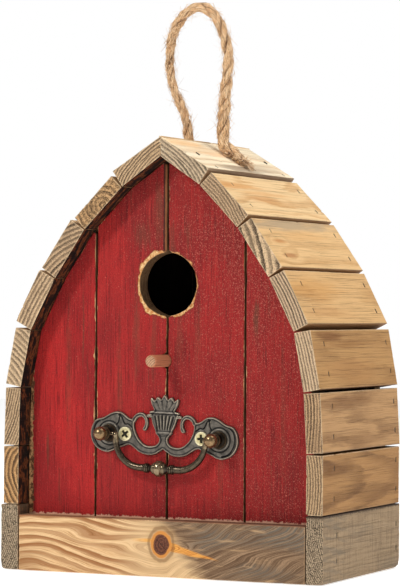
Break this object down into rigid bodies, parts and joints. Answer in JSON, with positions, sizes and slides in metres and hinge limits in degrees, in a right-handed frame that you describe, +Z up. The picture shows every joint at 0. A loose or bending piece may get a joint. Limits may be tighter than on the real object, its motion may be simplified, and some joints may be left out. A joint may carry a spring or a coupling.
{
  "type": "birdhouse",
  "caption": "Rustic wooden birdhouse: pointed-arch slatted shell, red plank front with round entrance, dowel perch, drawer-pull trim with swinging bail, rear clean-out cover, rope loop.",
  "frame": {"origin": "middle of the house on the surface it stands on", "axes": "+Z up, -Y out of the red front with the entrance hole, +X to the right seen from the front"},
  "size_m": [0.2214, 0.1438, 0.3625],
  "materials": {
    "slat_pine": "weathered pine, honey to grey-brown, worn edges",
    "base_wood": "grey weathered pine",
    "rail_pine": "pale pine with brown wavy grain and a knot",
    "barn_red": "distressed barn-red paint on wood, worn through at edges",
    "inner_wood": "plain planed pine",
    "perch_wood": "pinkish tan hardwood dowel",
    "antique_bronze": "dark antique bronze, worn lighter on the high edges",
    "antique_brass": "aged brass, rubbed bright on the balls",
    "yellow_zinc": "yellow zinc plated steel",
    "zinc": "zinc plated steel",
    "dark_steel": "dull dark steel",
    "jute": "hairy three-strand jute"
  },
  "bodies": {
    "house": {"slat_left_1": "slat_pine", "slat_left_2": "slat_pine", "slat_left_3": "slat_pine", "slat_left_4": "slat_pine", "slat_left_5": "slat_pine", "slat_left_6": "slat_pine", "slat_left_7": "slat_pine", "slat_right_1": "slat_pine", "slat_right_2": "slat_pine", "slat_right_3": "slat_pine", "slat_right_4": "slat_pine", "slat_right_5": "slat_pine", "slat_right_6": "slat_pine", "slat_right_7": "slat_pine", "base_side_left": "base_wood", "base_side_right": "base_wood", "front_rail": "rail_pine", "floor_board": "inner_wood", "front_plank_outer_left": "barn_red", "front_plank_inner_left": "barn_red", "front_plank_inner_right": "barn_red", "front_plank_outer_right": "barn_red", "back_plank_left": "inner_wood", "back_plank_middle": "inner_wood", "back_plank_right": "inner_wood", "perch_dowel": "perch_wood", "pull_backplate": "antique_bronze", "pull_post_left": "antique_brass", "pull_post_right": "antique_brass", "pull_screws": "yellow_zinc", "brads": "dark_steel", "cleanout_screw": "zinc", "rope_loop": "jute", "rope_knot_left": "jute", "rope_knot_right": "jute"},
    "bail": {"pull_bail": "antique_bronze"},
    "cover": {"cleanout_cover": "inner_wood"}
  },
  "joints": [
    {"name": "bail_swing", "type": "hinge", "parent": "house", "child": "bail", "pos_m": [-0.0022, -0.0575, 0.0863], "axis": [-0.9994, 0, 0.0349], "range_deg": [0, 165]},
    {"name": "cover_turn", "type": "hinge", "parent": "house", "child": "cover", "pos_m": [0, 0.0668, 0.097], "axis": [0, 1, 0], "continuous": true}
  ]
}
